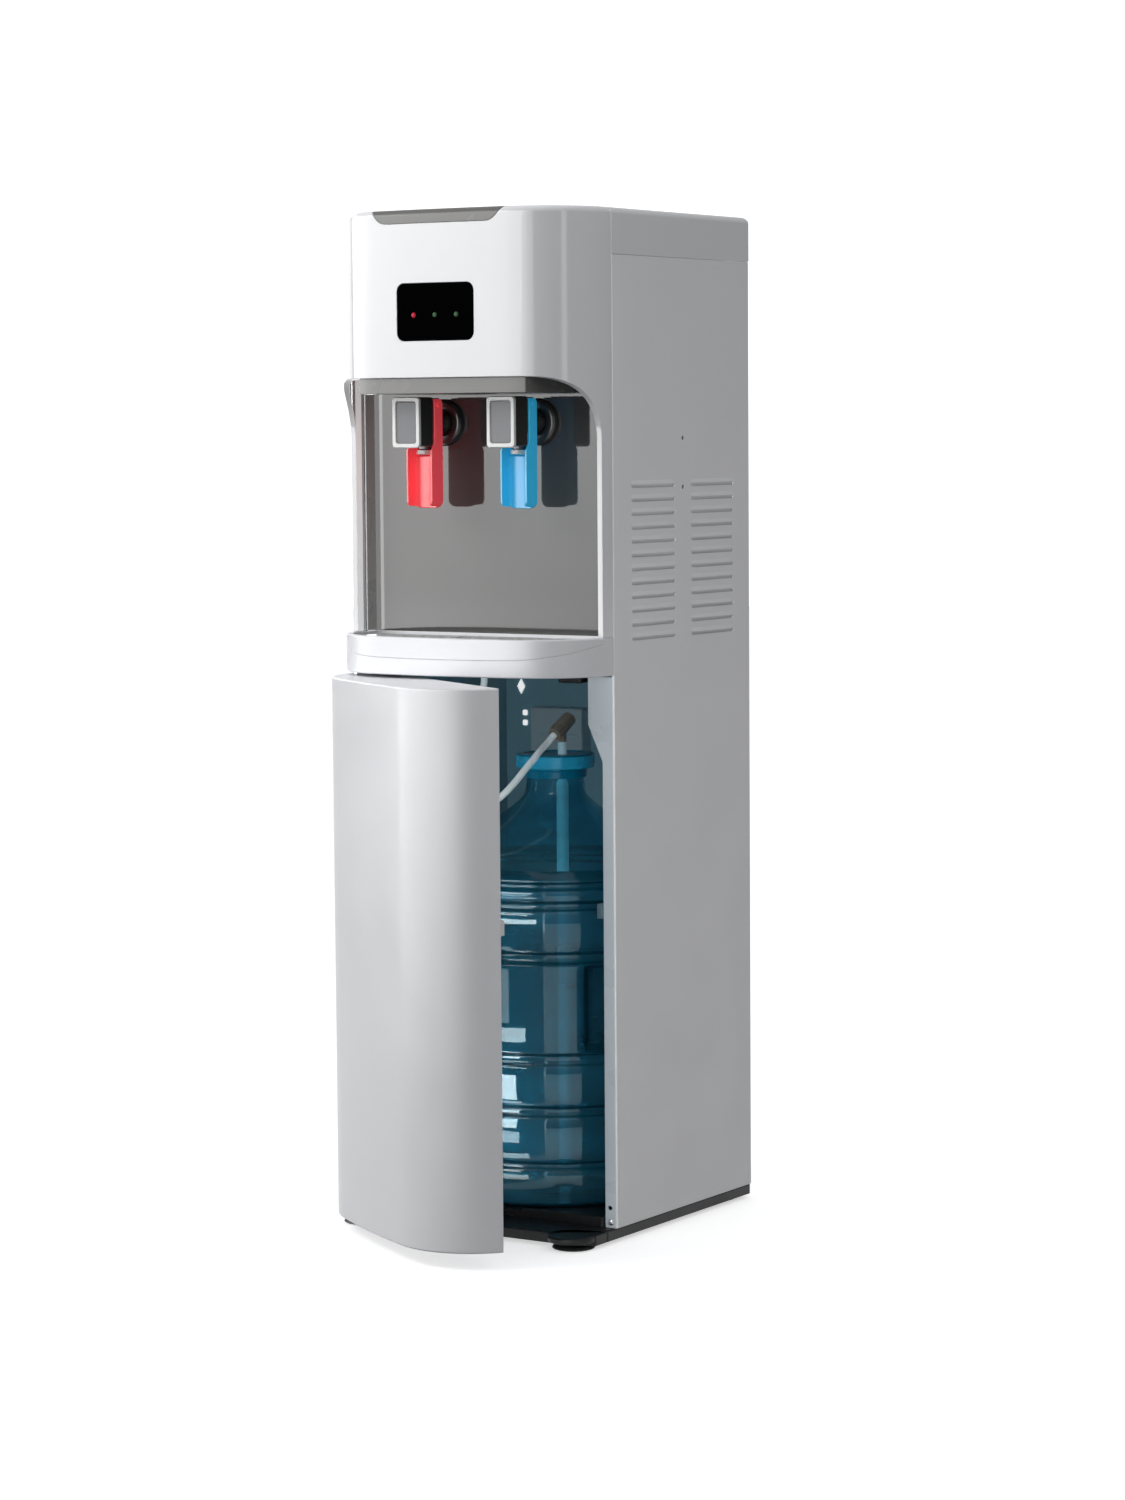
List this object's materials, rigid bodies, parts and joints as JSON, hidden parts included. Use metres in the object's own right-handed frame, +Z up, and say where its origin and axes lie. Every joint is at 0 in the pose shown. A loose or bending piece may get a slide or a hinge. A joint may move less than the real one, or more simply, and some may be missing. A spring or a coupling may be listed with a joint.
{
  "type": "bottom-loading water dispenser",
  "caption": "floor-standing hot and cold water dispenser with a bowed hinged door, push levers, drip tray and a bottle in its lower cabinet",
  "frame": {"origin": "centre of the base pan's resting pad, on the floor", "axes": "+Z up, -Y the front with the taps and door, +X to the right seen from the front"},
  "size_m": [0.31, 0.473, 1.045],
  "materials": {
    "white_abs": "high-gloss white ABS",
    "painted_steel": "fine-grained pale grey powder coat",
    "grey_plastic": "satin mid-grey ABS",
    "mirror_liner": "grey metallic, mirror-like lacquer",
    "black_plastic": "black polypropylene",
    "display_gloss": "black piano gloss",
    "led_red": "red light pipe",
    "led_green": "green light pipe",
    "lever_red": "red translucent acrylic",
    "lever_blue": "blue translucent acrylic",
    "silver_frame": "silvered ABS",
    "steel": "zinc-plated steel",
    "bottle_blue": "blue polycarbonate, clear",
    "cap_teal": "teal polyethylene",
    "probe_brown": "grey-brown nylon",
    "silicone": "milky silicone tube",
    "tank_foam": "expanded foam jacket",
    "board_green": "circuit board"
  },
  "bodies": {
    "root": {"front_housing": "white_abs", "top_cover": "white_abs", "drip_tray_base": "white_abs", "bay_housing": "white_abs", "hose_fitting": "white_abs", "side_panel_left": "painted_steel", "side_panel_right": "painted_steel", "back_panel_lower": "painted_steel", "back_panel_upper": "painted_steel", "top_insert": "grey_plastic", "tap_fascia": "grey_plastic", "hot_tap_insert": "grey_plastic", "cold_tap_insert": "grey_plastic", "hot_tap_nozzle": "grey_plastic", "cold_tap_nozzle": "grey_plastic", "pump": "grey_plastic", "recess_liner": "mirror_liner", "base_pan": "black_plastic", "foot_front_left": "black_plastic", "foot_front_right": "black_plastic", "foot_rear_left": "black_plastic", "foot_rear_right": "black_plastic", "hot_tap_body": "black_plastic", "cold_tap_body": "black_plastic", "hot_tap_collar": "black_plastic", "cold_tap_collar": "black_plastic", "compressor": "black_plastic", "condenser": "black_plastic", "mains_gland": "black_plastic", "drain_plug": "black_plastic", "catch_magnet": "black_plastic", "display_window": "display_gloss", "led_heating": "led_red", "led_power": "led_green", "led_cooling": "led_green", "hot_tap_frame": "silver_frame", "cold_tap_frame": "silver_frame", "hot_lever_pin": "steel", "cold_lever_pin": "steel", "bay_shelf": "steel", "upper_shelf": "steel", "hinge_pin_top": "steel", "hinge_pin_bottom": "steel", "bottle": "bottle_blue", "bottle_cap": "cap_teal", "probe_head": "probe_brown", "hose": "silicone", "dip_tube": "silicone", "hot_tank": "tank_foam", "cold_tank": "tank_foam", "display_board": "board_green"},
    "door": {"door_outer": "white_abs", "door_inner": "white_abs", "door_catch_plate": "steel"},
    "hot_lever": {"hot_lever": "lever_red"},
    "cold_lever": {"cold_lever": "lever_blue"},
    "drip_tray": {"drip_tray": "white_abs"},
    "drip_grille": {"drip_grille": "grey_plastic"},
    "switch_hot": {"switch_hot": "lever_red"},
    "switch_cold": {"switch_cold": "lever_blue"}
  },
  "joints": [
    {"name": "door_hinge", "type": "hinge", "parent": "root", "child": "door", "pos_m": [-0.136, -0.134, 0.295], "axis": [0, 0, -1], "range_deg": [-32, 68]},
    {"name": "hot_lever_pivot", "type": "hinge", "parent": "root", "child": "hot_lever", "pos_m": [-0.0575, -0.12, 0.85], "axis": [1, 0, 0], "range_deg": [0, 12], "stiffness_Nm_per_rad": 0.3},
    {"name": "cold_lever_pivot", "type": "hinge", "parent": "root", "child": "cold_lever", "pos_m": [0.0575, -0.12, 0.85], "axis": [1, 0, 0], "range_deg": [0, 12], "stiffness_Nm_per_rad": 0.3},
    {"name": "drip_tray_lift", "type": "slide", "parent": "root", "child": "drip_tray", "axis": [0, 0, 1], "range_m": [0, 0.06]},
    {"name": "drip_grille_lift", "type": "slide", "parent": "drip_tray", "child": "drip_grille", "axis": [0, 0, 1], "range_m": [0, 0.03]},
    {"name": "switch_hot_rocker", "type": "hinge", "parent": "root", "child": "switch_hot", "pos_m": [-0.12, 0.14, 0.965], "axis": [1, 0, 0], "range_deg": [0, 14]},
    {"name": "switch_cold_rocker", "type": "hinge", "parent": "root", "child": "switch_cold", "pos_m": [-0.095, 0.14, 0.965], "axis": [1, 0, 0], "range_deg": [0, 14]}
  ]
}
